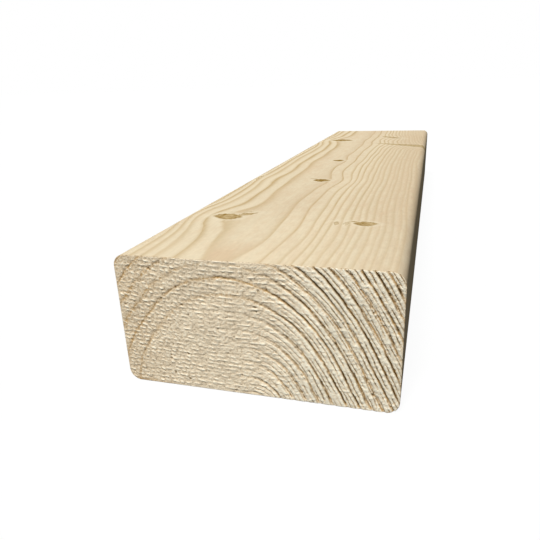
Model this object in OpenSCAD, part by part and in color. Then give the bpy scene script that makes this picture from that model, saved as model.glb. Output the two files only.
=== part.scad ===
// Softwood framing timber: one sawn length with planed faces, eased long edges and square-sawn ends.
// Millimetres, +Z up. The origin is the middle of the face that the timber lies on.
// The length runs along Y, the width along X and the thickness along Z.

/* [Section] */
// Width of the wide faces
plank_width = 90; // [60:1:240]
// Thickness between the two wide faces
plank_thickness = 45; // [25:1:75]
// Radius of the four eased long edges
arris_radius = 4; // [1:0.5:10]

/* [Length] */
// Length between the two sawn ends
plank_length = 400; // [200:10:6000]

/* [Hidden] */
$fn = 64;

// Rectangle with its lower side on the X axis and its four corners rounded
module eased_rectangle(width, height, radius) {
    translate([-width / 2, radius])
        square([width, height - 2 * radius]);
    translate([radius - width / 2, 0])
        square([width - 2 * radius, height]);
    for (side = [-1, 1], level = [radius, height - radius])
        translate([side * (width / 2 - radius), level])
            circle(r = radius);
}

// One piece of timber, lying on a wide face
module plank() {
    color("burlywood")
        rotate([90, 0, 0])
            linear_extrude(height = plank_length, center = true)
                eased_rectangle(plank_width, plank_thickness, arris_radius);
}

plank();
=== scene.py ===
"""Softwood framing timber: planed faces with eased edges, grown-in knots and two rough sawn ends."""

import logging
import math
from dataclasses import dataclass
from enum import Enum
from typing import Sequence, Union

import bmesh
import bpy
import numpy as np
from mathutils import Matrix, Vector


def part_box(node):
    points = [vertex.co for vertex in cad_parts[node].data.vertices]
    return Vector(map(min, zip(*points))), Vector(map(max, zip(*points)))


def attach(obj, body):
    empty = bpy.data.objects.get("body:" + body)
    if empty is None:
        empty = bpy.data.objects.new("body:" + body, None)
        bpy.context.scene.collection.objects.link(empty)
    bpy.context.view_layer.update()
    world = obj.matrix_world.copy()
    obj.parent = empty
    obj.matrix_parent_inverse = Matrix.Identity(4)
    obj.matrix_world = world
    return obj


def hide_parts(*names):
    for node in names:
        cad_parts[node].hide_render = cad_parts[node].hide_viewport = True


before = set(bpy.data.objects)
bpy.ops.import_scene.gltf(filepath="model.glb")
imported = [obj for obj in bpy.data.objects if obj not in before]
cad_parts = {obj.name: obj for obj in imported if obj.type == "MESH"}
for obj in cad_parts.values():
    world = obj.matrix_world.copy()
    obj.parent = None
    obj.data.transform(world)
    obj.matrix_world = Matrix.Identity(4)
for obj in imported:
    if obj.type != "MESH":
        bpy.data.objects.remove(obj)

LOG = logging.getLogger("timber")
MILLIMETRE = 0.001
NODE = "plank"
BODY = "root"
PIECE = "planed_timber"
PICTURE_SIDE = 540
NOISE_GAIN = 1.6

Pair = tuple[float, float]
Point = tuple[float, float, float]
Colour = tuple[float, float, float, float]


class Face(Enum):
    """The two kinds of surface on the timber, each with its place among the piece's materials."""

    PLANED = 0
    SAWN = 1


class Signal:
    """A number in a material's node tree that takes part in plain arithmetic."""

    def __init__(self, tree: bpy.types.NodeTree, socket: bpy.types.NodeSocket) -> None:
        """Wraps an output socket of the tree."""
        self.tree = tree
        self.socket = socket

    def math(self, operation: str, *operands: "Number") -> "Signal":
        """Feeds operands to a new Math node.

        Args:
            operation: Blender's name for the operation.
            operands: The node's inputs in order, each a Signal or a plain number.

        Returns:
            The node's result.
        """
        node = self.tree.nodes.new("ShaderNodeMath")
        node.operation = operation
        for socket, operand in zip(node.inputs, operands):
            if isinstance(operand, Signal):
                self.tree.links.new(operand.socket, socket)
            else:
                socket.default_value = operand
        return Signal(self.tree, node.outputs[0])

    def __add__(self, other: "Number") -> "Signal":
        """Sum with another number."""
        return self.math("ADD", self, other)

    def __radd__(self, other: float) -> "Signal":
        """Sum with a plain number on the left."""
        return self.math("ADD", other, self)

    def __sub__(self, other: "Number") -> "Signal":
        """Difference from another number."""
        return self.math("SUBTRACT", self, other)

    def __rsub__(self, other: float) -> "Signal":
        """Difference from a plain number on the left."""
        return self.math("SUBTRACT", other, self)

    def __mul__(self, other: "Number") -> "Signal":
        """Product with another number."""
        return self.math("MULTIPLY", self, other)

    def __rmul__(self, other: float) -> "Signal":
        """Product with a plain number on the left."""
        return self.math("MULTIPLY", other, self)

    def __truediv__(self, other: "Number") -> "Signal":
        """Quotient by another number."""
        return self.math("DIVIDE", self, other)

    def __rtruediv__(self, other: float) -> "Signal":
        """Quotient of a plain number by this one."""
        return self.math("DIVIDE", other, self)


Number = Union[float, np.ndarray, Signal]


def sine(angle: Number) -> Number:
    """Sine of an angle in radians."""
    return angle.math("SINE", angle) if isinstance(angle, Signal) else np.sin(angle)


def exponential(value: Number) -> Number:
    """Natural exponential."""
    return value.math("EXPONENT", value) if isinstance(value, Signal) else np.exp(value)


def logarithm(value: Number) -> Number:
    """Natural logarithm."""
    return value.math("LOGARITHM", value, math.e) if isinstance(value, Signal) else np.log(value)


def root(value: Number) -> Number:
    """Square root."""
    return value.math("SQRT", value) if isinstance(value, Signal) else np.sqrt(value)


def fraction(value: Number) -> Number:
    """What is left above the next lower whole number."""
    return value.math("FRACT", value) if isinstance(value, Signal) else value - np.floor(value)


def scatter(index: Number) -> Number:
    """A number from 0 to 1 that looks drawn by chance and is always the same for an index."""
    return fraction(sine(index * 12.9 + 1.3) * 438.5)


def turn(up: Number, across: Number) -> Number:
    """Angle of a direction, in radians from straight across."""
    return up.math("ARCTAN2", up, across) if isinstance(up, Signal) else np.arctan2(up, across)


def limited(value: Number, low: float, high: float) -> Number:
    """Keeps a value between two limits.

    Args:
        value: What is kept between them.
        low: The lower limit.
        high: The upper limit.

    Returns:
        The value, or the limit that it is past.
    """
    if isinstance(value, Signal):
        return value.math("MINIMUM", value.math("MAXIMUM", value, low), high)
    return np.clip(value, low, high)


def smooth_ramp(value: Number, low: float, high: float) -> Number:
    """Rises smoothly from 0 at low to 1 at high."""
    share = limited((value - low) * (1.0 / (high - low)), 0.0, 1.0)
    return share * share * (3.0 - 2.0 * share)


def soft_excess(value: Number, start: float, width: float) -> Number:
    """How far the value is past start, nearly 0 well before it, with a bend of a given width there."""
    return width * logarithm(1.0 + exponential((value - start) * (1.0 / width)))


def soft_switch(value: Number, start: float, width: float) -> Number:
    """The slope of soft_excess, from 0 before start to 1 past it."""
    return 1.0 / (1.0 + exponential((start - value) * (1.0 / width)))


def lattice_noise(u: np.ndarray, v: np.ndarray, seed: int) -> np.ndarray:
    """Smooth noise on a square lattice, the same on each run.

    Args:
        u: First coordinate, in lattice steps.
        v: Second coordinate, in lattice steps.
        seed: Which noise of the family.

    Returns:
        Values from -1 to 1.
    """
    u, v = np.broadcast_arrays(u, v)
    cell_u, cell_v = np.floor(u), np.floor(v)
    blend_u, blend_v = smooth_ramp(u - cell_u, 0.0, 1.0), smooth_ramp(v - cell_v, 0.0, 1.0)

    def corner(step_u: int, step_v: int) -> np.ndarray:
        """Value of one corner of each point's lattice cell."""
        wave = np.sin((cell_u + step_u) * 127.1 + (cell_v + step_v) * 311.7 + seed * 74.7)
        return fraction(wave * 43758.5453)

    low = corner(0, 0) * (1.0 - blend_u) + corner(1, 0) * blend_u
    high = corner(0, 1) * (1.0 - blend_u) + corner(1, 1) * blend_u
    return 2.0 * (low * (1.0 - blend_v) + high * blend_v) - 1.0


def layered_noise(u: np.ndarray, v: np.ndarray, seed: int) -> np.ndarray:
    """Lattice noise with a weaker layer of twice the fineness."""
    return lattice_noise(u, v, seed) + 0.55 * lattice_noise(2.0 * u + 5.3, 2.0 * v + 1.7, seed + 1)


def blurred(grid: np.ndarray, reach: int) -> np.ndarray:
    """Mean of the cells around each cell.

    Args:
        grid: Values in rows and columns.
        reach: Cells on each side that the mean takes in.

    Returns:
        A grid of the same size.
    """
    for axis in (0, 1):
        padding = [(reach, reach) if side == axis else (0, 0) for side in (0, 1)]
        padded = np.pad(grid, padding, mode="edge")
        count = grid.shape[axis]
        layers = [np.take(padded, range(step, step + count), axis) for step in range(2 * reach + 1)]
        grid = np.mean(layers, axis=0)
    return grid


def paint(red: int, green: int, blue: int) -> Colour:
    """A colour given as it shows on a screen, in the linear form that shaders take.

    Args:
        red: Red from 0 to 255.
        green: Green from 0 to 255.
        blue: Blue from 0 to 255.

    Returns:
        Linear red, green and blue, and full alpha.
    """
    def linear(level: int) -> float:
        """One channel, from screen value to light."""
        share = level / 255.0
        return share / 12.92 if share <= 0.04045 else ((share + 0.055) / 1.055) ** 2.4

    return (linear(red), linear(green), linear(blue), 1.0)


@dataclass(frozen=True)
class Stem:
    """The tree that the timber was sawn from. Lengths are in millimetres, along from the near end.

    Attributes:
        pith_x: Where the pith starts across the timber.
        pith_z: Where the pith starts above the face that the timber lies on.
        drift_x: How far the pith moves across for each millimetre along.
        drift_z: How far the pith moves up for each millimetre along.
        sway: How far the pith sways across.
        dip: How far the pith is lower at the near end, before it comes up again.
        dip_reach: How far along that dip and rise last.
        dip_rise: How strongly the pith comes up again after the dip.
        lean_x: How much wider the rings grew on the right.
        lean_z: How much wider the rings grew upwards.
        oval: How much the rings are stretched across.
        skew: How much the rings are stretched along one diagonal.
        bulge: How much the rings are stretched on the left.
        bulge_from: Share of the way across from which that stretch shows.
        young_rate: Rings in a millimetre of the young stem.
        grown_rate: Rings in a millimetre that the grown stem adds to that.
        grown_at: Radius at which the stem was grown.
        grown_bend: How softly that change sets in.
        late_rate: Rings in a millimetre that the late stem takes off.
        late_at: Radius at which the late stem starts.
        late_bend: How softly that change sets in.
        first_count: Rings that the count starts from at the pith.
        uneven: How far the rings' widths differ, in rings.
        waver: How far the rings waver along the stem, in rings.
        band_step: Width of the bands that the saw tears in the young stem.
        band_rise: Bands in a millimetre that the grown stem adds.
        band_at: Radius of a band's edge, where the grown stem starts.
        band_bend: How softly that change sets in.
    """

    pith_x: float = 0.3
    pith_z: float = -9.1
    drift_x: float = -0.0085
    drift_z: float = 0.0018
    sway: float = 0.7
    dip: float = 0.45
    dip_reach: float = 26.0
    dip_rise: float = 2.2
    lean_x: float = -0.0095
    lean_z: float = 0.071
    oval: float = -0.1
    skew: float = -0.181
    bulge: float = 1.9
    bulge_from: float = 0.66
    young_rate: float = 0.1
    grown_rate: float = 0.4
    grown_at: float = 41.65
    grown_bend: float = 0.55
    late_rate: float = 0.06
    late_at: float = 57.65
    late_bend: float = 2.0
    first_count: float = -0.065
    uneven: float = 0.1
    waver: float = 0.04
    band_step: float = 4.6
    band_rise: float = 0.059
    band_at: float = 40.8
    band_bend: float = 1.0

    def polar(self, x: Number, y: Number, z: Number) -> tuple[Number, Number]:
        """How far out from the pith a point grew, evened out over the rings' outline, and which way.

        Args:
            x: Place across.
            y: Place along.
            z: Place above the resting face.

        Returns:
            The radius in millimetres and the share of it that lies across the timber.
        """
        dip_share = y * y * self.dip_reach ** -2
        dip = self.dip * (1.0 - self.dip_rise * dip_share) * exponential(dip_share * -1.0)
        pith_x = self.pith_x + self.drift_x * y + self.sway * sine(y * 0.0204 + 1.2)
        pith_x = pith_x + 0.5 * self.sway * sine(y * 0.054 + 0.4)
        pith_z = self.pith_z + self.drift_z * y - dip
        across = x - pith_x
        up = z - pith_z
        reach = root(across * across + up * up)
        cosine = across / reach
        height = up / reach
        outline = 1.0 + self.lean_x * cosine + self.lean_z * height
        outline = outline + self.oval * (cosine * cosine - height * height)
        outline = outline + 2.0 * self.skew * cosine * height
        left = limited(-1.0 * cosine - self.bulge_from, 0.0, 1.0)
        outline = outline + self.bulge * left * left
        return reach / outline, cosine

    def count(self, radius: Number, y: Number) -> Number:
        """Rings grown up to a radius, with small waves along the stem.

        Args:
            radius: Radius from the polar method.
            y: Place along.

        Returns:
            The number of rings, whole at each ring's boundary.
        """
        grown = soft_excess(radius, self.grown_at, self.grown_bend)
        late = soft_excess(radius, self.late_at, self.late_bend)
        rings = self.young_rate * radius + self.grown_rate * grown - self.late_rate * late + self.first_count
        rings = rings + self.uneven * sine(radius * 0.83 + 0.88)
        rings = rings + self.waver * sine(y * 0.137 + radius * 0.9)
        return rings + self.waver * sine(y * 0.079 - radius * 0.5)

    def rate(self, radius: Number) -> Number:
        """Rings in a millimetre at a radius."""
        grown = self.young_rate + self.grown_rate * soft_switch(radius, self.grown_at, self.grown_bend)
        return grown - self.late_rate * soft_switch(radius, self.late_at, self.late_bend)

    def arc(self, x: Number, z: Number, radius: Number) -> Number:
        """Place along the ring that passes through a point, in millimetres."""
        return radius * turn(z - self.pith_z, x - self.pith_x)

    def bands(self, radius: Number) -> Number:
        """Bands that the saw tears, up to a radius."""
        grown = self.band_rise * soft_excess(radius, self.band_at, self.band_bend)
        return (radius - self.band_at) * (1.0 / self.band_step) + grown

    def band_rate(self, radius: Number) -> Number:
        """Bands in a millimetre at a radius."""
        return 1.0 / self.band_step + self.band_rise * soft_switch(radius, self.band_at, self.band_bend)


@dataclass(frozen=True)
class Knot:
    """A branch that the stem grew around, as a cone. Lengths are in millimetres.

    Attributes:
        start: A point on the branch's axis near the pith.
        tip: The point on the axis where the branch comes to the surface.
        size: Radius at the tip.
        push: How far the rings beside the branch are pushed, across and up.
        tint: How strongly the branch colours the wood.
        core: How dark its middle is.
    """

    start: Point
    tip: Point
    size: float
    push: Pair
    tint: float = 1.0
    core: float = 0.0

    def offsets(self, x: Number, y: Number, z: Number) -> tuple[Number, Number, Number, Number]:
        """Where a point lies against the branch.

        Args:
            x: Place across.
            y: Place along.
            z: Place above the resting face.

        Returns:
            The share of the way along the branch, the offsets from its axis across and up, and the
            offset along the stem.
        """
        axis = Vector(self.tip) - Vector(self.start)
        reach = axis.length
        aim = axis.normalized()
        from_x, from_y, from_z = x - self.start[0], y - self.start[1], z - self.start[2]
        way = from_x * aim.x + from_y * aim.y + from_z * aim.z
        return way * (1.0 / reach), from_x - way * aim.x, from_z - way * aim.z, from_y - way * aim.y


@dataclass(frozen=True)
class Growth:
    """What the knots do to the wood at a point.

    Attributes:
        ring_x: The place across whose rings show here, in millimetres.
        ring_z: The place above the resting face whose rings show here, in millimetres.
        nearest: Distance to the nearest knot's axis, in that knot's radii.
        tint: How strongly that knot colours the wood.
        core: How dark the middle of the knot is here.
    """

    ring_x: Signal
    ring_z: Signal
    nearest: Signal
    tint: Signal
    core: Signal


@dataclass(frozen=True)
class Branches:
    """All the knots of the timber.

    Attributes:
        knots: The knots, with the spikes that run out from some of them.
        breadth: How much wider across the stem than round the knots are.
        height: How much taller along the stem than round the knots are.
        roundness: 2 for oval knots and less for pointed ones.
        bend_across: Reach of the bent rings across, in knot radii and in millimetres on top.
        bend_along: Reach of the bent rings along, in knot radii and in millimetres on top.
        bend_side: Places beside a knot's axis between which the side that is pushed starts.
    """

    knots: Sequence[Knot] = (
        Knot((0.0, 44.0, -6.0), (-25.6, 51.0, 45.0), 4.2, (-8.0, 0.0), 1.0, 0.15),
        Knot((-25.0, 51.5, 43.2), (-19.0, 56.5, 46.8), 2.2, (0.0, 0.0), 0.85),
        Knot((-29.8, 57.5, 44.2), (-27.6, 58.7, 45.8), 0.9, (0.0, 0.0), 0.5),
        Knot((-22.0, 59.6, 44.2), (-19.8, 60.6, 45.8), 0.9, (0.0, 0.0), 0.5),
        Knot((2.0, 42.0, -6.0), (28.2, 48.0, 45.0), 3.0, (0.6, 0.0), 1.0, 0.1),
        Knot((28.0, 48.2, 43.2), (22.6, 51.0, 46.8), 1.5, (0.0, 0.0), 0.9),
        Knot((18.4, 42.0, 44.0), (17.4, 49.0, 46.0), 1.0, (0.0, 0.0), 0.65),
        Knot((21.0, 42.5, 44.0), (21.4, 49.5, 46.0), 1.0, (0.0, 0.0), 0.45),
        Knot((0.0, 124.0, -6.0), (-4.4, 130.0, 45.0), 3.5, (4.2, 0.0), 1.0, 0.6),
        Knot((-4.5, 130.0, 43.4), (-11.0, 135.5, 46.6), 1.5, (0.0, 0.0), 0.5),
        Knot((0.0, 194.0, -6.0), (-7.8, 200.0, 45.0), 3.2, (2.0, 0.0), 1.0, 0.8),
        Knot((0.0, 306.0, -6.0), (-24.2, 316.0, 45.0), 6.6, (-6.5, 0.0), 1.0, 0.5),
        Knot((4.5, 351.0, 41.0), (15.5, 336.0, 49.0), 5.2, (4.0, 0.0), 0.65, 0.3),
        Knot((0.0, 297.0, 43.5), (50.0, 272.0, 46.5), 8.5, (9.0, 0.0), 0.8),
        Knot((-40.6, 127.0, 44.2), (-40.0, 137.0, 45.8), 0.9, (0.0, 0.0), 0.8),
        Knot((0.0, 126.0, -6.0), (-45.0, 132.0, 34.0), 3.6, (0.0, 2.5)),
        Knot((2.0, 196.0, -6.0), (45.0, 206.0, 17.0), 4.6, (0.0, -3.0), 1.0, 0.4),
        Knot((0.0, 310.0, -6.0), (-45.0, 322.0, 14.0), 4.2, (0.0, 3.0)),
    )
    breadth: float = 1.28
    height: float = 1.05
    roundness: float = 1.4
    bend_across: Pair = (2.0, 5.0)
    bend_along: Pair = (1.4, 6.0)
    bend_side: Pair = (-14.0, 2.0)

    def settle(self, x: Signal, y: Signal, z: Signal, ragged: Signal) -> Growth:
        """Bends the rings round the knots and finds how near the knots are.

        Args:
            x: Place across.
            y: Place along.
            z: Place above the resting face.
            ragged: How far the knots' outlines are off at this place.

        Returns:
            What the knots do to the wood here.
        """
        ring_x, ring_z = x, z
        nearest, tint, core = None, None, None
        for knot in self.knots:
            way, across, up, along = knot.offsets(x + ragged, y - ragged, z)
            around = across * across + up * up
            aside = along * along
            push_x, push_z = knot.push
            if push_x or push_z:
                reach_x = self.bend_across[0] * knot.size + self.bend_across[1]
                reach_y = self.bend_along[0] * knot.size + self.bend_along[1]
                strength = exponential(around * (-0.5 / reach_x ** 2) + aside * (-0.5 / reach_y ** 2))
                side = math.copysign(1.0, push_x) * across if push_x else math.copysign(1.0, push_z) * up
                strength = strength * limited(way, 0.0, 1.0) * smooth_ramp(side, *self.bend_side)
                ring_x = ring_x - push_x * strength if push_x else ring_x
                ring_z = ring_z - push_z * strength if push_z else ring_z
            wide = around.math("POWER", around * self.breadth ** -2, 0.5 * self.roundness)
            tall = aside.math("POWER", aside * self.height ** -2, 0.5 * self.roundness)
            distance = wide.math("POWER", wide + tall, 1.0 / self.roundness)
            distance = distance / (knot.size * limited(way, 0.1, 1.2))
            shade = knot.tint * (1.0 - smooth_ramp(distance, 1.0, 2.2))
            nearest = distance if nearest is None else distance.math("MINIMUM", nearest, distance)
            tint = shade if tint is None else shade.math("MAXIMUM", tint, shade)
            if knot.core:
                middle = knot.core * (1.0 - smooth_ramp(distance, 0.3, 1.0))
                core = middle if core is None else middle.math("MAXIMUM", core, middle)
        return Growth(ring_x, ring_z, nearest, tint, core)


class Graph:
    """A material's node tree, with short calls for the nodes that the finishes need."""

    def __init__(self, name: str) -> None:
        """Makes a material with an empty tree.

        Args:
            name: The material's name.
        """
        self.material = bpy.data.materials.new(name)
        self.material.use_nodes = True
        self.tree = self.material.node_tree
        self.tree.nodes.clear()
        self.place = self.node("ShaderNodeTexCoord").outputs["Object"]

    def node(self, kind: str, **settings: object) -> bpy.types.Node:
        """Adds a node.

        Args:
            kind: Blender's name for the node's type.
            settings: Properties to set on it.

        Returns:
            The node.
        """
        made = self.tree.nodes.new(kind)
        for name, value in settings.items():
            setattr(made, name, value)
        return made

    def feed(self, socket: bpy.types.NodeSocket, value: object) -> None:
        """Gives an input socket a Signal, another socket or a plain value.

        Args:
            socket: The input.
            value: What it takes.
        """
        if isinstance(value, Signal):
            self.tree.links.new(value.socket, socket)
        elif isinstance(value, bpy.types.NodeSocket):
            self.tree.links.new(value, socket)
        else:
            socket.default_value = value

    def millimetres(self, length: float) -> tuple[Signal, Signal, Signal]:
        """The shaded point in millimetres.

        Args:
            length: The timber's length in millimetres.

        Returns:
            The place across from the middle, along from the near end and above the resting face.
        """
        split = self.node("ShaderNodeSeparateXYZ")
        self.feed(split.inputs[0], self.place)
        x, y, z = (Signal(self.tree, socket) * (1.0 / MILLIMETRE) for socket in split.outputs)
        return x, y + 0.5 * length, z

    def noise(self, step: Point, detail: float = 2.0, roughness: float = 0.5) -> Signal:
        """Noise over the timber.

        Args:
            step: Size of the noise's features across, along and up, in millimetres.
            detail: Layers of finer noise.
            roughness: How strong the finer layers are.

        Returns:
            Values about 0, mostly from -0.5 to 0.5.
        """
        stretch = self.node("ShaderNodeVectorMath", operation="MULTIPLY")
        self.feed(stretch.inputs[0], self.place)
        self.feed(stretch.inputs[1], tuple(1.0 / (MILLIMETRE * size) for size in step))
        made = self.node("ShaderNodeTexNoise")
        self.feed(made.inputs["Vector"], stretch.outputs[0])
        self.feed(made.inputs["Scale"], 1.0)
        self.feed(made.inputs["Detail"], detail)
        self.feed(made.inputs["Roughness"], roughness)
        return (Signal(self.tree, made.outputs["Fac"]) - 0.5) * NOISE_GAIN

    def attribute(self, name: str) -> Signal:
        """A number that the mesh holds at each vertex."""
        made = self.node("ShaderNodeAttribute", attribute_name=name)
        return Signal(self.tree, made.outputs["Fac"])

    def mix(self, share: Signal, first: object, second: object) -> bpy.types.NodeSocket:
        """Blends two colours.

        Args:
            share: How much of the second colour shows.
            first: A colour or a colour socket.
            second: A colour or a colour socket.

        Returns:
            The blended colour.
        """
        made = self.node("ShaderNodeMix", data_type="RGBA", clamp_factor=True)
        self.feed(made.inputs[0], share)
        self.feed(made.inputs[6], first)
        self.feed(made.inputs[7], second)
        return made.outputs[2]

    def scaled(self, colour: bpy.types.NodeSocket, level: Signal) -> bpy.types.NodeSocket:
        """Makes a colour lighter or darker.

        Args:
            colour: The colour.
            level: The factor that it is scaled by.

        Returns:
            The scaled colour.
        """
        made = self.node("ShaderNodeVectorMath", operation="SCALE")
        self.feed(made.inputs[0], colour)
        self.feed(made.inputs["Scale"], level)
        return made.outputs[0]

    def surface(self, colour: bpy.types.NodeSocket, roughness: Signal, height: Signal,
                depth: float, shine: float) -> bpy.types.Material:
        """Closes the tree with a shader.

        Args:
            colour: The surface's colour.
            roughness: How matt it is.
            height: Fine relief, in parts of depth.
            depth: Depth of that relief in millimetres.
            shine: Level of the shader's specular light.

        Returns:
            The finished material.
        """
        bump = self.node("ShaderNodeBump")
        self.feed(bump.inputs["Distance"], depth * MILLIMETRE)
        self.feed(bump.inputs["Height"], height)
        shader = self.node("ShaderNodeBsdfPrincipled")
        self.feed(shader.inputs["Base Color"], colour)
        self.feed(shader.inputs["Roughness"], roughness)
        self.feed(shader.inputs["Specular IOR Level"], shine)
        self.feed(shader.inputs["Normal"], bump.outputs[0])
        output = self.node("ShaderNodeOutputMaterial")
        self.feed(output.inputs["Surface"], shader.outputs[0])
        return self.material


@dataclass(frozen=True)
class PlanedFinish:
    """Planed softwood with growth rings and knots. Lengths and places are in millimetres.

    Attributes:
        early: Colour of the pale wood that grew in spring.
        late: Colour of the dark line that ends each ring.
        blush: Colour that the wood drifts towards in places.
        knot: Colour of a knot.
        knot_rim: Colour of a knot's rim and of the rings inside it.
        halo: Colour of the dense pale wood round a knot.
        late_width: How far the dark line fades towards the pith.
        early_width: How far the dark line fades towards the bark.
        wander: Size of the rings' slow bends, across, along and up.
        ripple: Size of their quick bends.
        ragged: Size of the nicks in the knots' outlines.
        ragged_depth: Depth of those nicks.
        fibre: Size of the fibres.
        speck: Size of the short flecks.
        mottle: Size of the blotches.
        streak: Size of the long streaks.
        cloud: Size of the wide clouds.
        faint: Places across between which the dark lines grow faint.
        fainter: Places along between which they grow fainter still.
        fresh: Places along between which the near end's paler lines reach full strength.
        crest: Radii between which the tone of the innermost ring ends.
        strip_from: Places across between which the strip beside that ring starts.
        strip_to: Places across between which that strip ends.
        front: Places along between which the near end's tone ends.
        back: Places along between which the tone of the rest starts.
        right: Places across between which the right side's tone starts.
        warm: Places across between which the rest turns warmer.
        dim: Places across between which the rest turns a little darker.
    """

    early: Colour = paint(238, 221, 190)
    late: Colour = paint(203, 176, 131)
    blush: Colour = paint(225, 199, 165)
    knot: Colour = paint(210, 185, 140)
    knot_rim: Colour = paint(153, 119, 54)
    halo: Colour = paint(242, 227, 198)
    late_width: float = 1.1
    early_width: float = 0.48
    wander: Point = (8.0, 45.0, 8.0)
    ripple: Point = (1.2, 12.0, 1.2)
    ragged: Point = (3.5, 4.5, 3.5)
    ragged_depth: float = 3.2
    fibre: Point = (0.35, 16.0, 0.35)
    speck: Point = (0.9, 2.4, 0.9)
    mottle: Point = (2.4, 7.0, 2.4)
    streak: Point = (2.2, 90.0, 2.2)
    cloud: Point = (34.0, 110.0, 30.0)
    faint: Pair = (4.0, 36.0)
    fainter: Pair = (330.0, 375.0)
    fresh: Pair = (5.0, 70.0)
    crest: Pair = (44.9, 45.7)
    strip_from: Pair = (-12.0, -4.0)
    strip_to: Pair = (3.0, 9.0)
    front: Pair = (4.0, 24.0)
    back: Pair = (30.0, 80.0)
    right: Pair = (8.0, 45.0)
    warm: Pair = (-8.0, 2.0)
    dim: Pair = (-32.0, -22.0)

    def material(self, stem: Stem, branches: Branches, length: float) -> bpy.types.Material:
        """Builds the finish.

        Args:
            stem: The tree's rings.
            branches: The tree's knots.
            length: The timber's length in millimetres.

        Returns:
            The material of the four planed faces.
        """
        graph = Graph("planed_softwood")
        x, y, z = graph.millimetres(length)
        wander, ripple = graph.noise(self.wander), graph.noise(self.ripple)
        ragged = graph.noise(self.ragged, 4.0, 0.65)
        fibre = graph.noise(self.fibre, 3.0, 0.6)
        speck, mottle = graph.noise(self.speck, 3.0), graph.noise(self.mottle, 3.0)
        streak, cloud = graph.noise(self.streak), graph.noise(self.cloud)

        # Rings, bent round the knots
        growth = branches.settle(x, y, z, self.ragged_depth * ragged)
        radius, lean = stem.polar(growth.ring_x + 0.5 * wander + 0.12 * ripple, y, growth.ring_z)
        rings = stem.count(radius, y)
        into = fraction(rings)
        spread = (0.15 + root(lean * lean) + 0.2 * lean) * stem.rate(radius)
        inside, outside = (1.0 - into) / spread, into / spread
        edge = into.math("MINIMUM", inside * (1.0 / self.late_width), outside * (1.0 / self.early_width))
        line = exponential(edge * edge * -1.0)
        faint = smooth_ramp(x, *self.faint) * (0.46 + 0.35 * smooth_ramp(y, *self.fainter))
        strength = (0.74 + 0.2 * sine((rings - into) * 2.4)) * (0.85 + 0.0009 * y) * (1.0 - faint)
        strength = strength * (0.7 + 0.3 * smooth_ramp(y, *self.fresh))
        colour = graph.mix(line * strength * (1.0 + 0.8 * fibre) + 0.15 * into * into, self.early, self.late)

        # Tones of the innermost ring, the strip beside it, the near end and the right
        crest = 1.0 - smooth_ramp(radius, *self.crest)
        front = 1.0 - smooth_ramp(y, *self.front)
        back = smooth_ramp(y, *self.back)
        right = smooth_ramp(x, *self.right)
        beside = smooth_ramp(x, *self.strip_from) * (1.0 - smooth_ramp(x, *self.strip_to)) * back
        blush = 0.45 * right + 0.15 * back * smooth_ramp(x, *self.warm)
        blush = blush + crest * (0.1 + 0.2 * back + 0.9 * front) + 0.2 * beside
        blush = blush + 0.5 * cloud + 0.4 * streak + 0.8 * mottle
        colour = graph.mix(blush, colour, self.blush)

        # Knots and the pale wood round them
        near = growth.nearest
        colour = graph.mix((1.0 - smooth_ramp(near, 1.2, 2.0)) * growth.tint * 0.6, colour, self.halo)
        rim = 1.0 - smooth_ramp((near - 0.85) * (near - 0.85), 0.0, 0.05)
        grown = 0.3 + 0.16 * sine(near * 9.0 + 6.0 * ripple)
        ripe = grown + growth.core + rim * (0.3 + 1.6 * ragged) + 0.4 * fibre + 1.2 * mottle
        knot = graph.mix(ripe, self.knot, self.knot_rim)
        colour = graph.mix(growth.tint * (1.0 - smooth_ramp(near, 0.8, 1.2)), colour, knot)

        # Shade and the fibres' own light and dark
        shade = 0.015 * crest + 0.02 * beside + 0.06 * right - 0.02 * front
        shade = shade + 0.024 * back * smooth_ramp(x, *self.dim)
        colour = graph.scaled(colour, 1.0 + 0.1 * fibre + 0.05 * streak + 0.11 * speck - shade)
        matt = 0.75 - 0.1 * line + 0.15 * fibre
        return graph.surface(colour, matt, fibre + 0.5 * line, depth=0.02, shine=0.0)


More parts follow.
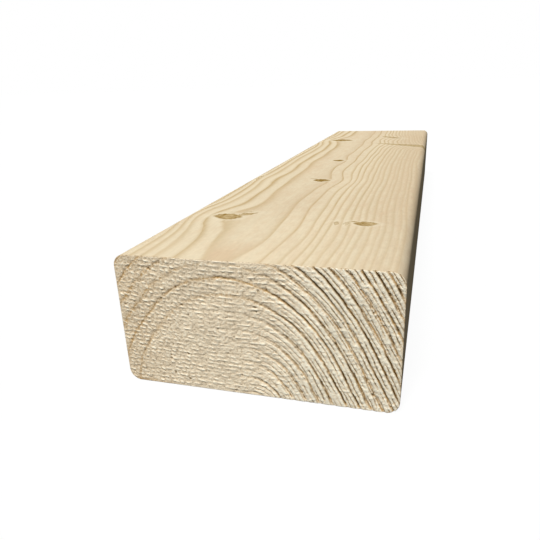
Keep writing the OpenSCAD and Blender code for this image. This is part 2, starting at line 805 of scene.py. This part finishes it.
@dataclass(frozen=True)
class SawMarks:
    """The marks that a saw's teeth left on the ends. Lengths and places are in millimetres.

    Attributes:
        row_pitch: Distance from one row of ribs to the next.
        row_width: Half the width of a rib, as a share of the pitch.
        dash_count: Dashes, the pieces that a rib is broken into, in a millimetre of a row.
        dash_rise: Dashes in a millimetre that the left of the end adds.
        rise_at: How far left of the middle it starts to add them.
        rise_bend: How softly that change sets in.
        dash_slant: How far a dash slants down on the left, as a share of the pitch.
        slant_span: Places across between which that slant ends.
        dash_stray: How far a dash strays from its row, as a share of the pitch.
        strand_pitch: Distance between the finer scores along the rings.
        strand_width: Half the width of those scores, as a share of their pitch.
        torn_span: Places across between which the saw starts to tear along the rings.
        torn_slant: How far those places move to the right for each millimetre up.
        middle: Height at which those places are given.
        banded: Radii between which the bands start to show on the left.
        closed_span: Radii between which the saw starts to leave the bands closed.
        closed_at: Place across where it leaves them closed.
        closed_width: How far from there it does so.
        closed_share: How much of a band it leaves closed there.
    """

    row_pitch: float = 1.45
    row_width: float = 0.16
    dash_count: float = 0.21
    dash_rise: float = 0.2
    rise_at: float = 14.0
    rise_bend: float = 3.0
    dash_slant: float = 0.42
    slant_span: Pair = (-30.0, 6.0)
    dash_stray: float = 0.26
    strand_pitch: float = 1.6
    strand_width: float = 0.12
    torn_span: Pair = (-6.0, 24.0)
    torn_slant: float = 0.25
    middle: float = 22.0
    banded: Pair = (30.0, 40.0)
    closed_span: Pair = (41.5, 43.0)
    closed_at: float = -10.0
    closed_width: float = 10.0
    closed_share: float = 0.75

    def torn(self, x: Number, z: Number) -> Number:
        """How far the saw tore along the rings, from 0 on the left to 1 on the right."""
        return smooth_ramp(x + self.torn_slant * (self.middle - z), *self.torn_span)

    def opened(self, x: Number, radius: Number) -> Number:
        """How far the saw opened the bands.

        Args:
            x: Place across.
            radius: Radius from the stem's polar method.

        Returns:
            1 in most places, and less in the middle of the upper edge.
        """
        off = (x - self.closed_at) * (1.0 / self.closed_width)
        closed = smooth_ramp(radius, *self.closed_span) * exponential(off * off * -0.5)
        return 1.0 - self.closed_share * closed

    def rows(self, x: Number, y: Number, z: Number) -> Number:
        """How high on the rows of ribs a point lies.

        Args:
            x: Place across.
            y: Place along.
            z: Place above the resting face.

        Returns:
            A number from 0 between ribs to about 1 on a rib.
        """
        level = z * (1.0 / self.row_pitch) + 0.0137 * y + 0.1 * sine(0.13 * x + 0.21 * z)
        lower = level - fraction(level)
        slant = self.dash_slant * (1.0 - smooth_ramp(x, *self.slant_span))
        place = self.dash_count * x - self.dash_rise * soft_excess(-1.0 * x, self.rise_at, self.rise_bend)
        high = 0.0
        for step in (0.0, 1.0):
            row = lower + step
            dash = place + 5.0 * scatter(row) + 0.2 * sine(0.9 * x + 4.0 * row)
            share = fraction(dash)
            chance = scatter(dash - share + 7.3 * row)
            gap = level - row + slant * (share - 0.5) + self.dash_stray * (chance - 0.5)
            gap = gap * (1.0 / self.row_width)
            bite = smooth_ramp(share, 0.0, 0.3) * (1.0 - smooth_ramp(share, 0.7, 1.0)) * (0.2 + 0.8 * chance)
            high = high + 0.65 * bite * exponential(gap * gap * -1.0)
            high = high + 0.4 * bite * exponential(gap * gap * -0.2)
        return high

    def strands(self, radius: Number, arc: Number) -> Number:
        """How deep in the scores along the rings a point lies.

        Args:
            radius: Radius from the stem's polar method.
            arc: Place along the ring.

        Returns:
            A number from 0 to 1.
        """
        count = radius * (1.0 / self.strand_pitch) + 0.12 * sine(0.21 * arc + 0.4 * radius)
        phase = math.tau * scatter(count - fraction(count) + 0.37)
        aside = (fraction(count) - 0.5 + 0.05 * sine(0.9 * arc + phase)) * (1.0 / self.strand_width)
        broken = smooth_ramp(sine(0.28 * arc + phase) + 0.5 * sine(0.8 * arc - 2.0 * phase), -1.5, 0.1)
        return broken * exponential(aside * aside * -1.0)


@dataclass(frozen=True)
class SawnEnd:
    """The relief that a saw leaves across the grain. Lengths are in millimetres.

    Attributes:
        marks: The marks that the saw left.
        seed: Which of the patterns of torn fibres this end has.
        along: Place of the end along the timber, from the near end.
        cell: Size of the mesh's cells on this end.
        row_depth: Height of the ribs.
        strand_depth: Depth of the scores along the rings.
        lump_depth: Depth of the broken lumps between ribs.
        grain_depth: Depth of the torn fibre ends.
        chip_depth: Depth of the few spots where fibres broke out.
        groove_depth: Depth of the grooves where the saw tore a band.
        groove_sides: How far a groove reaches from a band's edge, towards the pith and the bark.
        groove_bend: Size of the grooves' bends, along the rings and across them.
        groove_fray: Size of the frayed spots on the grooves' sides.
        deep_length: Length of a groove's deeper and shallower stretches.
        open_length: Length of its open and closed stretches on the left.
        ajar_span: Places across between which the grooves start to open a little.
        ajar_slant: How far those places move to the left for each millimetre up.
        force_size: Size of the patches where the saw bit harder or softer, across and up.
        lump_size: Size of the lumps.
        grain_size: Size of the fibre ends.
        chip_size: Size of the spots where fibres broke out.
        clean_rim: Width of the rim that the saw left cleaner.
    """

    marks: SawMarks
    seed: int
    along: float
    cell: float
    row_depth: float = 0.27
    strand_depth: float = 0.44
    lump_depth: float = 0.06
    grain_depth: float = 0.21
    chip_depth: float = 0.3
    groove_depth: float = 0.84
    groove_sides: Pair = (0.42, 0.55)
    groove_bend: Pair = (6.0, 4.0)
    groove_fray: float = 1.2
    deep_length: float = 5.0
    open_length: float = 7.0
    ajar_span: Pair = (-24.0, 22.0)
    ajar_slant: float = 0.5
    force_size: Pair = (14.0, 10.0)
    lump_size: Pair = (1.5, 0.7)
    grain_size: Pair = (0.65, 0.55)
    chip_size: Pair = (1.9, 1.4)
    clean_rim: float = 1.4

    def rough(self, x: np.ndarray, z: np.ndarray, size: Pair, slant: float, pattern: int) -> np.ndarray:
        """Noise with features of a size, which slant as they rise. Each pattern is another noise."""
        return layered_noise(x / size[0] + slant * z, z / size[1], self.seed + pattern)

    def grooves(self, x: np.ndarray, z: np.ndarray, stem: Stem,
                radius: np.ndarray) -> tuple[np.ndarray, np.ndarray]:
        """Where the saw tore the bands.

        Args:
            x: Places across.
            z: Places above the resting face.
            stem: The tree's rings.
            radius: Radii from the stem's polar method.

        Returns:
            How deep in a groove each point lies, and how far the grooves are open there.
        """
        seed, marks = self.seed, self.marks
        arc = stem.arc(x, z, radius)
        bend_along, bend_across = self.groove_bend
        bands = stem.bands(radius) + 0.04 * layered_noise(arc / bend_along, radius / bend_across, seed + 40)
        bands = bands + 0.04 * lattice_noise(arc / self.groove_fray, radius / self.groove_fray, seed + 43)
        into = fraction(bands)
        inside, outside = (1.0 - into) / stem.band_rate(radius), into / stem.band_rate(radius)
        uneven = 0.85 + 0.3 * layered_noise(arc / self.deep_length, np.floor(bands) * 5.1, seed + 17)
        pith_side, bark_side = self.groove_sides
        hollow = np.exp(-(np.minimum(inside / pith_side, outside / bark_side)) ** 2) * uneven
        broken = layered_noise(arc / self.open_length, np.floor(bands) * 2.9, seed + 55)
        broken = smooth_ramp(broken, -0.3, 0.7)
        ajar = smooth_ramp(x + self.ajar_slant * (z - marks.middle), *self.ajar_span)
        opened = marks.torn(x, z) + 0.2 * ajar
        opened = limited(opened + 0.22 * smooth_ramp(radius, *marks.banded) * broken, 0.0, 1.0)
        return hollow, opened * marks.opened(x, radius)

    def depth(self, x: np.ndarray, z: np.ndarray, stem: Stem) -> np.ndarray:
        """How deep each point of the end lies.

        Args:
            x: Places across.
            z: Places above the resting face.
            stem: The tree's rings.

        Returns:
            Depths below the end's highest point.
        """
        marks = self.marks
        radius, _ = stem.polar(x, np.full_like(x, self.along), z)
        torn = marks.torn(x, z)
        rim = np.minimum(x.max() - np.abs(x), z - z.min())
        clean = 0.3 + 0.7 * smooth_ramp(rim, 0.0, self.clean_rim)
        clean = clean * (0.6 + 0.4 * smooth_ramp(z.max() - z, 0.0, self.clean_rim))

        force = (1.0 - 0.5 * torn) * (0.8 + 0.35 * self.rough(x, z, self.force_size, 0.0, 0))
        lumps = 0.5 - 0.5 * self.rough(x, z, self.lump_size, 0.5, 11)
        grain = 0.5 - 0.5 * self.rough(x, z, self.grain_size, -0.4, 31)
        chips = smooth_ramp(self.rough(x, z, self.chip_size, 0.3, 71), 0.95, 1.3)
        hollow, opened = self.grooves(x, z, stem, radius)
        ribs = marks.rows(x, self.along, z) * (1.0 - 0.7 * hollow)

        depth = self.row_depth * force * (1.0 - ribs)
        depth = depth + self.strand_depth * torn * marks.strands(radius, stem.arc(x, z, radius))
        depth = depth + self.lump_depth * lumps + self.grain_depth * grain + self.chip_depth * chips
        depth = depth + self.groove_depth * opened * hollow
        depth = depth * clean + depth.mean() * (1.0 - clean)
        return depth - depth.min()


@dataclass(frozen=True)
class SawnFinish:
    """Rough sawn end grain. Lengths and places are in millimetres.

    Attributes:
        fibre: Colour of the cut fibre ends.
        crest: Painted highlight on the fibres that stand proud.
        hollow: Painted shade in the grooves, hollows and scores.
        late: Colour of the dark line that ends each band.
        patch: Size of the lighter and darker patches, across, along and up.
        cloud: Size of the wide clouds.
        pores: Size of the pores.
        waver: Size of the bends in the dark lines.
        rim: Heights between which the painted shade along the lower rim of the two sides ends.
        side: Squares of the places across between which the tone of the two sides starts.
    """

    fibre: Colour = paint(242, 222, 191)
    # Painted highlight, mixed in where the fibres stand proud
    crest: Colour = paint(255, 246, 223)
    # Painted shade, mixed in where the end lies hollow
    hollow: Colour = paint(108, 84, 48)
    late: Colour = paint(199, 159, 101)
    patch: Point = (4.0, 4.0, 2.5)
    cloud: Point = (15.0, 15.0, 12.0)
    pores: Point = (0.4, 0.4, 0.3)
    waver: Point = (3.0, 3.0, 3.0)
    rim: Pair = (0.3, 1.8)
    side: Pair = (450.0, 1600.0)

    def material(self, stem: Stem, marks: SawMarks, length: float) -> bpy.types.Material:
        """Builds the finish.

        Args:
            stem: The tree's rings.
            marks: The marks that the saw left.
            length: The timber's length in millimetres.

        Returns:
            The material of the two ends.
        """
        graph = Graph("sawn_end_grain")
        x, y, z = graph.millimetres(length)
        radius, _ = stem.polar(x, y, z)
        torn = marks.torn(x, z)
        patch, cloud = graph.noise(self.patch, 3.0), graph.noise(self.cloud)
        pores = graph.noise(self.pores, 3.0, 0.65)

        # Dark lines that end the bands
        bands = radius + 0.3 * graph.noise(self.waver)
        into, rate = fraction(stem.bands(bands)), stem.band_rate(bands)
        line = exponential((1.0 - into) / rate * -1.6) + exponential(into / rate * -2.4)
        line = line * (torn + (1.0 - torn) * smooth_ramp(radius, *marks.banded)) * marks.opened(x, radius)

        # Scores and ribs, and the level of painted highlight and painted shade from them, the relief, the
        # pores and patches
        score = 1.2 * marks.strands(radius, stem.arc(x, z, radius)) * torn
        score = score - marks.rows(x, y, z) * (0.75 - 0.45 * torn) * (1.0 - 0.6 * line)
        level = 3.5 * graph.attribute("relief") + 1.9 * pores + 0.5 * patch - 0.4 * score
        # More painted highlight over the whole end, and most on the torn right
        level = level + 0.12 + 0.51 * torn

        # Colour, with painted highlight and painted shade
        side = smooth_ramp(x * x, *self.side)
        rim = 1.0 - smooth_ramp(z, *self.rim)
        # Dark lines and a tan tone on the torn right and the two sides, with painted shade along their lower
        # rim
        tone_and_rim_shade = line * (0.75 - 0.25 * torn + 1.5 * patch) + 0.18 * torn + side * (0.16 + 0.55 * rim)
        colour = graph.mix(tone_and_rim_shade, self.fibre, self.late)
        # Painted highlight where the level is high, painted shade where it is low
        colour = graph.mix(level, colour, self.crest)
        colour = graph.mix(level * -1.0, colour, self.hollow)
        colour = graph.scaled(colour, 1.0 + 0.18 * patch + 0.15 * cloud)
        return graph.surface(colour, 0.9 + 0.1 * pores, pores - 1.2 * score, depth=0.14, shine=0.0)


@dataclass
class Plank:
    """The timber's mesh. Lengths are in millimetres.

    Attributes:
        low: Lowest corner of the part's solid, in metres.
        high: Highest corner of the part's solid, in metres.
        stem: The tree's rings.
        edge_radius: Radius of the eased long edges.
        side_cell: Size of the long faces' cells round the section.
        ring_step: Size of the long faces' cells along the length.
        worn_edge: Width of the worn rim round each end.
        first_ring: Distance from an end to the long faces' first ring of vertices.
        relief_reach: How far round a vertex of an end its relief is measured.
        rim_painted_shade: How far the worn rim counts as hollow, which paints shade on it.
    """

    low: Vector
    high: Vector
    stem: Stem
    edge_radius: float = 4.0
    side_cell: float = 1.0
    ring_step: float = 8.0
    worn_edge: float = 0.18
    first_ring: float = 2.0
    relief_reach: float = 0.8
    rim_painted_shade: float = 0.2

    def __post_init__(self) -> None:
        """Works out the size of the solid."""
        self.width, self.length, self.thickness = (self.high - self.low) / MILLIMETRE

    def section(self, cell: float, inset: float) -> tuple[np.ndarray, np.ndarray]:
        """Grid over the timber's section.

        Args:
            cell: Size of the grid's cells.
            inset: How far the grid's rim lies inside the section's outline.

        Returns:
            Places across and up, in rows and columns.
        """
        radius = self.edge_radius - inset
        half_x, half_z = 0.5 * self.width - inset, 0.5 * self.thickness - inset
        columns, rows = round(self.width / cell), round(self.thickness / cell)
        u, v = np.meshgrid(np.linspace(-half_x, half_x, columns + 1),
                           np.linspace(-half_z, half_z, rows + 1))
        corner_u = np.clip((np.abs(u) - half_x + radius) / radius, 0.0, 1.0)
        corner_v = np.clip((np.abs(v) - half_z + radius) / radius, 0.0, 1.0)
        across = radius * corner_u * np.sqrt(1.0 - 0.5 * corner_v ** 2)
        across = across + np.minimum(np.abs(u), half_x - radius)
        up = radius * corner_v * np.sqrt(1.0 - 0.5 * corner_u ** 2)
        up = up + np.minimum(np.abs(v), half_z - radius)
        return np.sign(u) * across, np.sign(v) * up + 0.5 * self.thickness

    @staticmethod
    def rim(grid: np.ndarray) -> np.ndarray:
        """A grid's outermost values, in order round it."""
        return np.concatenate([grid[0, :-1], grid[:-1, -1], grid[-1, :0:-1], grid[:0:-1, 0]])

    @staticmethod
    def grid_faces(grid: np.ndarray) -> list[list[int]]:
        """Quads between a grid's vertices."""
        corners = [grid[:-1, :-1], grid[:-1, 1:], grid[1:, 1:], grid[1:, :-1]]
        return np.stack([corner.ravel() for corner in corners], 1).tolist()

    @staticmethod
    def strip_faces(one: np.ndarray, other: np.ndarray) -> list[list[int]]:
        """Quads between two loops of as many vertices."""
        return np.stack([one, np.roll(one, -1), np.roll(other, -1), other], 1).tolist()

    @staticmethod
    def stitch_faces(fine: np.ndarray, coarse: np.ndarray) -> list[list[int]]:
        """Triangles between a fine loop and a coarse one.

        Args:
            fine: Vertices of the fine loop, a whole number of them for each coarse one.
            coarse: Vertices of the coarse loop.

        Returns:
            The faces.
        """
        share = len(fine) // len(coarse)
        steps = np.concatenate([fine.reshape(-1, share), np.roll(fine, -share).reshape(-1, share)[:, :1]], 1)
        following = np.roll(coarse, -1)
        middle = share // 2
        faces = [np.stack([steps[:, middle], following, coarse], 1)]
        for step in range(share):
            corner = coarse if step < middle else following
            faces.append(np.stack([steps[:, step], steps[:, step + 1], corner], 1))
        return np.concatenate(faces).tolist()

    def build(self, ends: Sequence[SawnEnd]) -> bpy.types.Object:
        """Builds the closed mesh.

        Args:
            ends: The relief of the near end and of the far end.

        Returns:
            The timber, with its relief kept at each vertex.
        """
        points: list[np.ndarray] = []
        relief: list[np.ndarray] = []
        faces: list[list[int]] = []
        edges: list[np.ndarray] = []

        def add(x: np.ndarray, y: Number, z: np.ndarray, proud: Number) -> np.ndarray:
            """Adds vertices.

            Args:
                x: Places across.
                y: Places along, from the near end.
                z: Places above the resting face.
                proud: How far they stand above their surroundings.

            Returns:
                The vertices' numbers, in the shape of x.
            """
            first = sum(map(len, points))
            layer = np.stack([part.ravel() for part in np.broadcast_arrays(x, y, z, proud)], 1)
            points.append(layer[:, :3])
            relief.append(layer[:, 3])
            return np.arange(first, first + x.size).reshape(x.shape)

        for end in ends:
            x, z = self.section(end.cell, self.worn_edge)
            depth = end.depth(x, z, self.stem)
            # How far each vertex stands above its surroundings; the ends' material paints highlight where it
            # stands proud and shade where it lies hollow
            proud = blurred(depth, round(self.relief_reach / end.cell)) - depth
            inward = 1.0 if end.along == 0.0 else -1.0
            cap = add(x, end.along + inward * depth, z, proud)
            full_x, full_z = (self.rim(grid) for grid in self.section(end.cell, 0.0))
            rim_depth = self.rim(depth) + self.worn_edge
            # The worn rim counts as lower than it lies, so that the ends' material paints shade on it
            rim_relief_with_shade = self.rim(proud) - self.rim_painted_shade
            edges.append(add(full_x, end.along + inward * rim_depth, full_z, rim_relief_with_shade))
            faces += self.grid_faces(cap) + self.strip_faces(self.rim(cap), edges[-1])
        sawn = len(faces)

        side_x, side_z = (self.rim(grid) for grid in self.section(self.side_cell, 0.0))
        count = round(self.length / self.ring_step)
        stations = np.linspace(self.first_ring, self.length - self.first_ring, count)
        rings = [add(side_x, station, side_z, 0.0) for station in stations]
        for edge, ring in zip(edges, (rings[0], rings[-1])):
            faces += self.stitch_faces(edge, ring)
        for one, other in zip(rings, rings[1:]):
            faces += self.strip_faces(one, other)

        places = np.concatenate(points) - (0.0, 0.5 * self.length, 0.0)
        mesh = bpy.data.meshes.new(PIECE)
        mesh.from_pydata((places * MILLIMETRE).tolist(), [], faces)
        self.mark(mesh, sawn, np.concatenate(edges), np.concatenate(relief))
        piece = bpy.data.objects.new(PIECE, mesh)
        bpy.context.scene.collection.objects.link(piece)
        return piece

    @staticmethod
    def mark(mesh: bpy.types.Mesh, sawn: int, sharp: np.ndarray, relief: np.ndarray) -> None:
        """Sets the mesh's shading, materials' places and relief.

        Args:
            mesh: The timber's mesh.
            sawn: How many of its first faces are sawn.
            sharp: Vertices of the loops where the sawn ends meet the planed faces.
            relief: How far each vertex stands above its surroundings, which sets the ends' painted highlight
                and painted shade.
        """
        places = np.full(len(mesh.polygons), Face.PLANED.value, np.int32)
        places[:sawn] = Face.SAWN.value
        mesh.polygons.foreach_set("material_index", places)
        mesh.polygons.foreach_set("use_smooth", np.ones(len(mesh.polygons), bool))
        ends = np.empty(2 * len(mesh.edges), np.int32)
        mesh.edges.foreach_get("vertices", ends)
        mesh.edges.foreach_set("use_edge_sharp", np.isin(ends.reshape(-1, 2), sharp).all(1))
        mesh.attributes.new("relief", "FLOAT", "POINT").data.foreach_set("value", relief.astype(np.float32))
        shell = bmesh.new()
        shell.from_mesh(mesh)
        bmesh.ops.recalc_face_normals(shell, faces=shell.faces)
        shell.to_mesh(mesh)
        shell.free()

    def dress(self, piece: bpy.types.Object, planed: bpy.types.Material, sawn: bpy.types.Material) -> None:
        """Gives the timber its finishes and ties it to the frame.

        Args:
            piece: The timber.
            planed: Material of the planed faces.
            sawn: Material of the ends.
        """
        finishes = {Face.PLANED: planed, Face.SAWN: sawn}
        for face in Face:
            piece.data.materials.append(finishes[face])
        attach(piece, BODY)
        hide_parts(NODE)


@dataclass(frozen=True)
class Studio:
    """A pale floor, a key light from above and in front, and weak light from all round.

    Attributes:
        floor_side: Side of the floor in metres.
        floor_colour: Colour of the floor.
        floor_glow: Light that the floor adds where it is looked at, to reach white.
        key_aim: Direction towards the key light.
        key_power: Strength of the key light.
        key_spread: Width of the key light in degrees.
        round_light: Strength of the light from all round.
        round_tint: Colour of that light.
    """

    floor_side: float = 24.0
    floor_colour: Colour = (0.05, 0.05, 0.05, 1.0)
    floor_glow: float = 0.955
    key_aim: Point = (-0.1, -0.62, 0.78)
    key_power: float = 3.32
    key_spread: float = 12.0
    round_light: float = 0.18
    round_tint: Colour = (0.98, 1.04, 1.0, 1.0)

    @staticmethod
    def seen(tree: bpy.types.NodeTree) -> Signal:
        """Tells where the camera sees a surface, straight, in a reflection or through glass.

        Args:
            tree: The node tree that asks.

        Returns:
            1 where the camera sees it and 0 elsewhere.
        """
        path = tree.nodes.new("ShaderNodeLightPath")
        ways = [Signal(tree, path.outputs[name])
                for name in ("Is Camera Ray", "Is Glossy Ray", "Is Transmission Ray")]
        return ways[0].math("MAXIMUM", ways[0].math("MAXIMUM", ways[0], ways[1]), ways[2])

    def floor(self) -> bpy.types.Object:
        """Builds the floor that the timber lies on.

        Returns:
            The floor.
        """
        half = 0.5 * self.floor_side
        mesh = bpy.data.meshes.new("studio_floor")
        corners = [(-half, -half, 0.0), (half, -half, 0.0), (half, half, 0.0), (-half, half, 0.0)]
        mesh.from_pydata(corners, [], [(0, 1, 2, 3)])
        material = bpy.data.materials.new("studio_white")
        material.use_nodes = True
        tree = material.node_tree
        tree.nodes.clear()
        matt = tree.nodes.new("ShaderNodeBsdfDiffuse")
        matt.inputs["Color"].default_value = self.floor_colour
        glow = tree.nodes.new("ShaderNodeEmission")
        tree.links.new((self.seen(tree) * self.floor_glow).socket, glow.inputs["Strength"])
        both = tree.nodes.new("ShaderNodeAddShader")
        tree.links.new(matt.outputs[0], both.inputs[0])
        tree.links.new(glow.outputs[0], both.inputs[1])
        output = tree.nodes.new("ShaderNodeOutputMaterial")
        tree.links.new(both.outputs[0], output.inputs["Surface"])
        mesh.materials.append(material)
        floor = bpy.data.objects.new("studio_floor", mesh)
        bpy.context.scene.collection.objects.link(floor)
        return floor

    def key(self) -> bpy.types.Object:
        """Builds the key light.

        Returns:
            The lamp.
        """
        lamp = bpy.data.lights.new("key_light", "SUN")
        lamp.energy = self.key_power
        lamp.angle = math.radians(self.key_spread)
        made = bpy.data.objects.new("key_light", lamp)
        made.rotation_euler = Vector(self.key_aim).to_track_quat("Z", "Y").to_euler()
        bpy.context.scene.collection.objects.link(made)
        return made

    def surroundings(self) -> bpy.types.World:
        """Builds the weak light from all round, which shows as white.

        Returns:
            The world.
        """
        world = bpy.data.worlds.new("studio_surroundings")
        world.use_nodes = True
        tree = world.node_tree
        tree.nodes.clear()
        lights = [tree.nodes.new("ShaderNodeBackground") for _ in range(2)]
        lights[0].inputs["Color"].default_value = self.round_tint
        lights[0].inputs["Strength"].default_value = self.round_light
        lights[1].inputs["Color"].default_value = (1.0, 1.0, 1.0, 1.0)
        mix = tree.nodes.new("ShaderNodeMixShader")
        tree.links.new(self.seen(tree).socket, mix.inputs[0])
        for light, socket in zip(lights, mix.inputs[1:]):
            tree.links.new(light.outputs[0], socket)
        output = tree.nodes.new("ShaderNodeOutputWorld")
        tree.links.new(mix.outputs[0], output.inputs["Surface"])
        bpy.context.scene.world = world
        return world


@dataclass(frozen=True)
class PhotoCamera:
    """The camera at the photograph's viewpoint.

    Attributes:
        place: The camera's place in metres.
        turn: Turn to the left in degrees, from looking along the timber.
        tilt: Tilt upwards in degrees.
        roll: Roll about the line of sight in degrees.
        lens: Focal length in millimetres.
        film: Width of the film in millimetres.
        centre: Pixels from the picture's middle, right and down, to the lens's axis.
        nearest: Nearest distance that the camera sees, in metres.
    """

    place: Point = (0.04848, -0.33004, 0.09349)
    turn: float = 16.604
    tilt: float = -20.8701
    roll: float = 2.0594
    lens: float = 33.9051
    film: float = 36.0
    centre: Pair = (10.0, 6.0)
    nearest: float = 0.01

    def build(self) -> bpy.types.Object:
        """Builds the camera and makes it the scene's own.

        Returns:
            The camera.
        """
        data = bpy.data.cameras.new("photo_camera")
        data.lens = self.lens
        data.sensor_width = self.film
        data.shift_x = -self.centre[0] / PICTURE_SIDE
        data.shift_y = self.centre[1] / PICTURE_SIDE
        data.clip_start = self.nearest
        camera = bpy.data.objects.new("photo_camera", data)
        facing = (Matrix.Rotation(math.radians(self.turn), 3, "Z")
                  @ Matrix.Rotation(math.radians(self.tilt), 3, "X")
                  @ Matrix.Rotation(math.radians(self.roll), 3, "Y"))
        right, forward, up = facing.col
        turned = Matrix((right, up, -forward)).transposed()
        camera.matrix_world = Matrix.Translation(self.place) @ turned.to_4x4()
        bpy.context.scene.collection.objects.link(camera)
        bpy.context.scene.camera = camera
        return camera


def main() -> None:
    """Builds the camera, the timber and the studio."""
    logging.basicConfig(level=logging.INFO, format="%(message)s")
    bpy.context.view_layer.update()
    bpy.context.scene.view_settings.view_transform = "Standard"
    LOG.info("camera: %s", PhotoCamera().build().name)

    stem, branches = Stem(), Branches()
    plank = Plank(*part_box(NODE), stem)
    marks = SawMarks()
    near_end = SawnEnd(marks, seed=3, along=0.0, cell=0.25)
    far_end = SawnEnd(marks, seed=211, along=plank.length, cell=0.5)
    timber = plank.build((near_end, far_end))
    plank.dress(timber, PlanedFinish().material(stem, branches, plank.length),
                SawnFinish().material(stem, marks, plank.length))
    LOG.info("timber: %d faces", len(timber.data.polygons))

    studio = Studio()
    LOG.info("stage: %s", studio.floor().name)
    LOG.info("light: %s", studio.key().name)
    LOG.info("light: %s", studio.surroundings().name)


if __name__ == "__main__":
    main()
